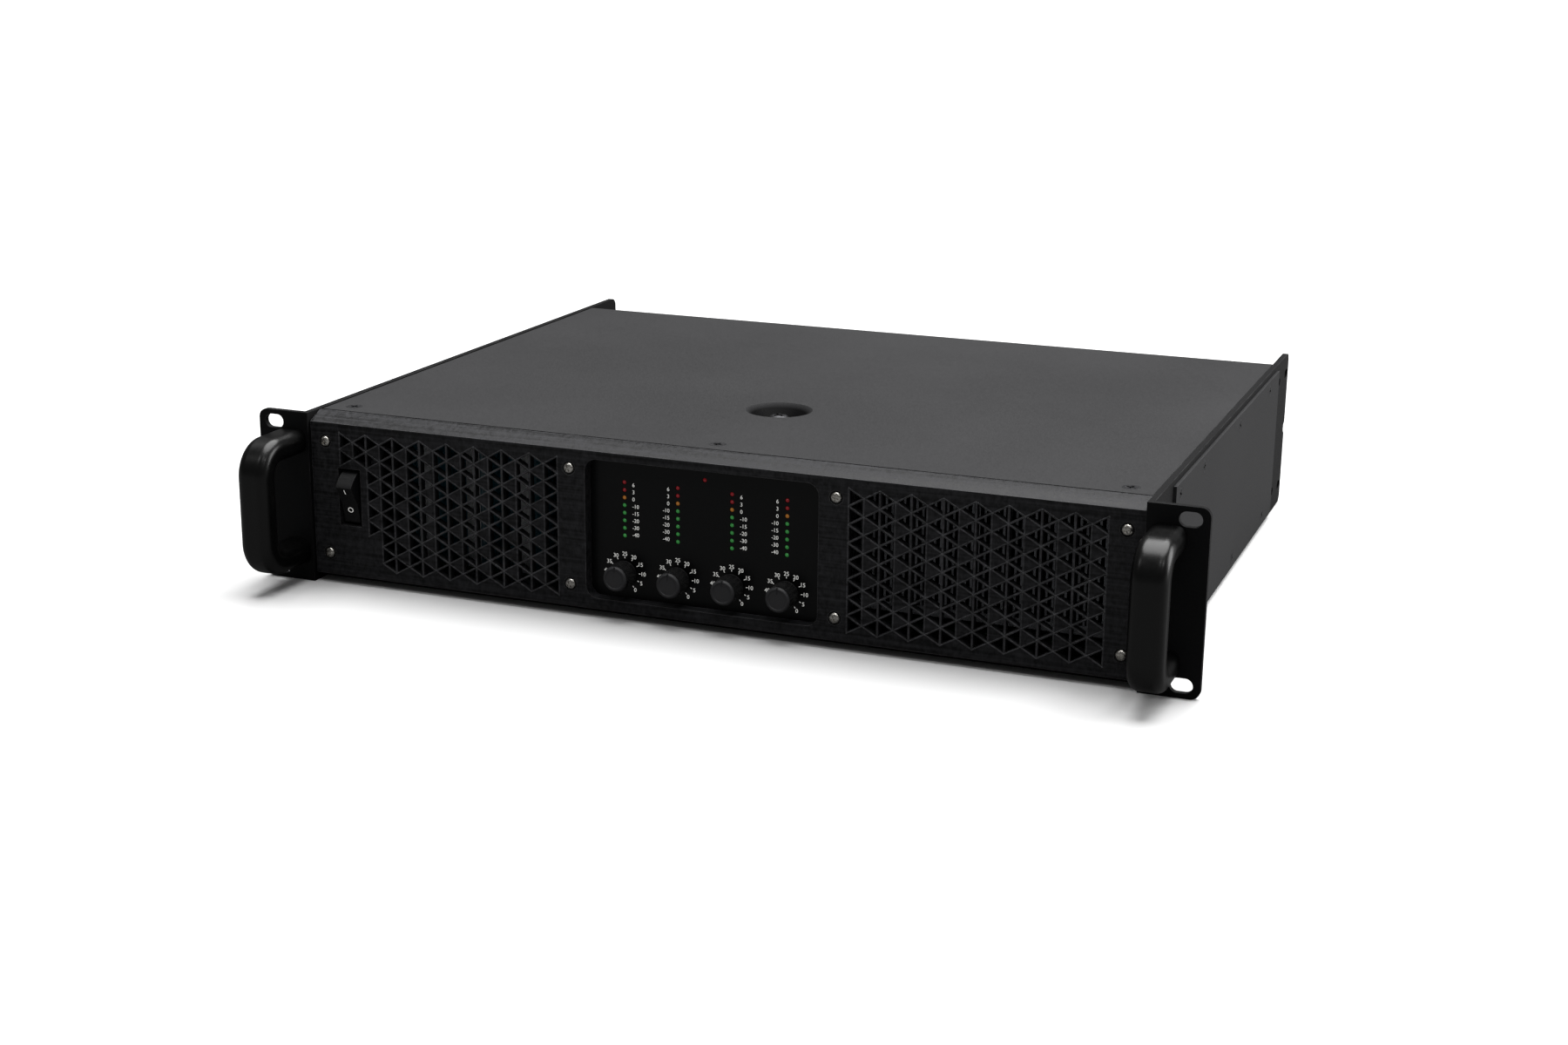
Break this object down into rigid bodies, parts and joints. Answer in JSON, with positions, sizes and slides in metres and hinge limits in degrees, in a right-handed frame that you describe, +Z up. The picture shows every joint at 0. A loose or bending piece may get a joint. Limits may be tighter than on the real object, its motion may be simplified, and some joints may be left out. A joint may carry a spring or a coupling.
{
  "type": "rack-mount power amplifier",
  "caption": "Rack-mount audio power amplifier with grip handles, triangle-lattice air grilles, recessed control window with knobs and level lamps, power rocker and rear fans.",
  "frame": {"origin": "under the middle of the whole object, handles and rear ears included, on the surface it stands on", "axes": "+X to the right as seen from the front, +Y to the rear, +Z up"},
  "size_m": [0.4826, 0.396, 0.088],
  "materials": {
    "case_black": "fine-textured black powder coat on steel",
    "cover_grey": "satin dark grey powder coat on steel",
    "bezel_black": "fine-textured black coating on aluminium",
    "panel_black": "matt black printed overlay",
    "handle_black": "semi-gloss black enamel on die-cast aluminium",
    "knob_black": "satin black moulded ABS",
    "screw_nickel": "bright nickel plate",
    "screw_black": "black oxide",
    "zinc_steel": "zinc-plated steel",
    "component_black": "black moulded epoxy",
    "board_green": "green solder mask on glass-epoxy laminate",
    "lamp_red": "red diffused epoxy",
    "lamp_amber": "amber diffused epoxy",
    "lamp_green": "green diffused epoxy",
    "black_plastic": "black moulded nylon",
    "fan_plastic": "black glass-filled PBT",
    "heat_sink_metal": "extruded aluminium, mill finish",
    "capacitor_sleeve": "teal PVC shrink sleeve",
    "transformer_tape": "yellow polyester tape",
    "copper_wire": "enamelled copper wire",
    "brass": "turned brass",
    "cable_grey": "grey PVC",
    "cable_red": "red PVC",
    "socket_nickel": "satin nickel plate on die-cast zinc",
    "guard_nickel": "nickel-plated steel"
  },
  "bodies": {
    "chassis": {"side_plate_left": "case_black", "side_plate_right": "case_black", "rear_panel": "case_black", "bottom_tray": "case_black", "top_cover": "cover_grey", "side_skin_left": "cover_grey", "side_skin_right": "cover_grey", "front_subpanel": "zinc_steel", "front_bezel": "bezel_black", "control_panel": "panel_black", "handle_left": "handle_black", "handle_right": "handle_black", "handle_screws": "screw_nickel", "bezel_screws": "screw_nickel", "cover_screws": "screw_black", "centre_screw": "screw_black", "side_screws": "screw_black", "rear_panel_screws": "screw_black", "socket_screws": "screw_black", "fan_screws": "screw_black", "gain_pots": "component_black", "display_board": "board_green", "red_leds": "lamp_red", "amber_leds": "lamp_amber", "green_leds": "lamp_green", "power_led": "lamp_red", "switch_housing": "black_plastic", "amplifier_board": "board_green", "power_board": "board_green", "input_board": "board_green", "heat_sink": "heat_sink_metal", "rectifier_heat_sink": "heat_sink_metal", "power_transistors": "component_black", "filter_capacitors": "capacitor_sleeve", "power_transformers": "transformer_tape", "output_chokes": "copper_wire", "board_standoffs": "brass", "centre_pillar": "heat_sink_metal", "signal_ribbon": "cable_grey", "mains_harness": "cable_red", "mains_inlet": "black_plastic", "fuse_holder": "black_plastic", "fan_frame_left": "fan_plastic", "fan_frame_right": "fan_plastic", "fan_guards": "guard_nickel", "input_sockets": "socket_nickel", "link_sockets": "socket_nickel", "speaker_sockets": "black_plastic"},
    "knob_1": {"knob_1": "knob_black", "pot_shaft_1": "zinc_steel"},
    "knob_2": {"knob_2": "knob_black", "pot_shaft_2": "zinc_steel"},
    "knob_3": {"knob_3": "knob_black", "pot_shaft_3": "zinc_steel"},
    "knob_4": {"knob_4": "knob_black", "pot_shaft_4": "zinc_steel"},
    "power_rocker": {"switch_rocker": "black_plastic"},
    "fan_left": {"fan_rotor_left": "fan_plastic"},
    "fan_right": {"fan_rotor_right": "fan_plastic"}
  },
  "joints": [
    {"name": "knob_1_turn", "type": "hinge", "parent": "chassis", "child": "knob_1", "pos_m": [-0.042, -0.1517, 0.0226], "axis": [0, 1, 0], "range_deg": [-150, 150]},
    {"name": "knob_2_turn", "type": "hinge", "parent": "chassis", "child": "knob_2", "pos_m": [-0.014, -0.1517, 0.0226], "axis": [0, 1, 0], "range_deg": [-150, 150]},
    {"name": "knob_3_turn", "type": "hinge", "parent": "chassis", "child": "knob_3", "pos_m": [0.014, -0.1517, 0.0226], "axis": [0, 1, 0], "range_deg": [-150, 150]},
    {"name": "knob_4_turn", "type": "hinge", "parent": "chassis", "child": "knob_4", "pos_m": [0.042, -0.1517, 0.0226], "axis": [0, 1, 0], "range_deg": [-150, 150]},
    {"name": "power_rocker_tilt", "type": "hinge", "parent": "chassis", "child": "power_rocker", "pos_m": [-0.19135, -0.1514, 0.04585], "axis": [-1, 0, 0], "range_deg": [0, 44]},
    {"name": "fan_left_spin", "type": "hinge", "parent": "chassis", "child": "fan_left", "pos_m": [-0.108, 0.15, 0.044], "axis": [0, 1, 0], "continuous": true},
    {"name": "fan_right_spin", "type": "hinge", "parent": "chassis", "child": "fan_right", "pos_m": [0.108, 0.15, 0.044], "axis": [0, 1, 0], "continuous": true}
  ]
}
